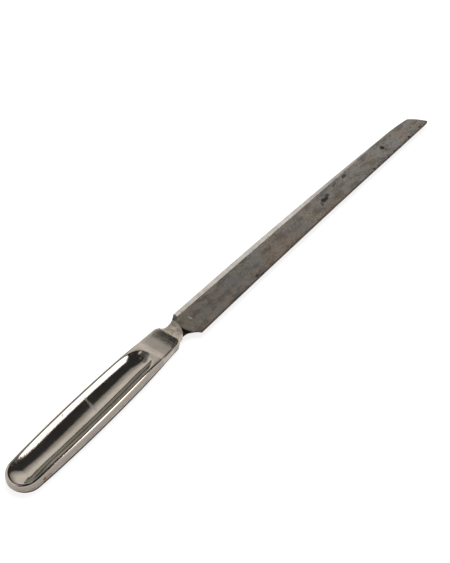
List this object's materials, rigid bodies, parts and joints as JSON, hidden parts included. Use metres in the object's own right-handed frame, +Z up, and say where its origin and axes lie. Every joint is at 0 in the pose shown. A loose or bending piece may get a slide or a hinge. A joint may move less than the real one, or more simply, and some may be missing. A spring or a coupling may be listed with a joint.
{
  "type": "surgical knife",
  "caption": "Long fixed-blade surgical knife with a sheepsfoot point, a waisted bolster and a hollow fluted metal handle.",
  "frame": {"origin": "centre of the knife's bounding box in plan, on the table it lies on", "axes": "+X along the blade to the point, +Y towards the spine of the blade, +Z up from the table, through the thickness"},
  "size_m": [0.3404, 0.021, 0.007],
  "materials": {
    "blade_steel": "old forged carbon steel, dull grey-brown with dark patina, small rust pits and worn polish",
    "bolster_metal": "dull cast nickel alloy, tarnished tan grey with fine pits",
    "handle_plate": "worn bright nickel plate over pressed brass, with light scuffs and a few rust spots",
    "hard_solder": "thin line of hard solder, filed flush and plated over",
    "pin_steel": "pin ends filed just below the surface and tarnished"
  },
  "bodies": {
    "root": {"blade": "blade_steel", "bolster": "bolster_metal", "handle_shell_upper": "handle_plate", "handle_shell_lower": "handle_plate", "seam_solder": "hard_solder", "mouth_solder": "hard_solder", "tang_pins": "pin_steel"}
  },
  "joints": []
}
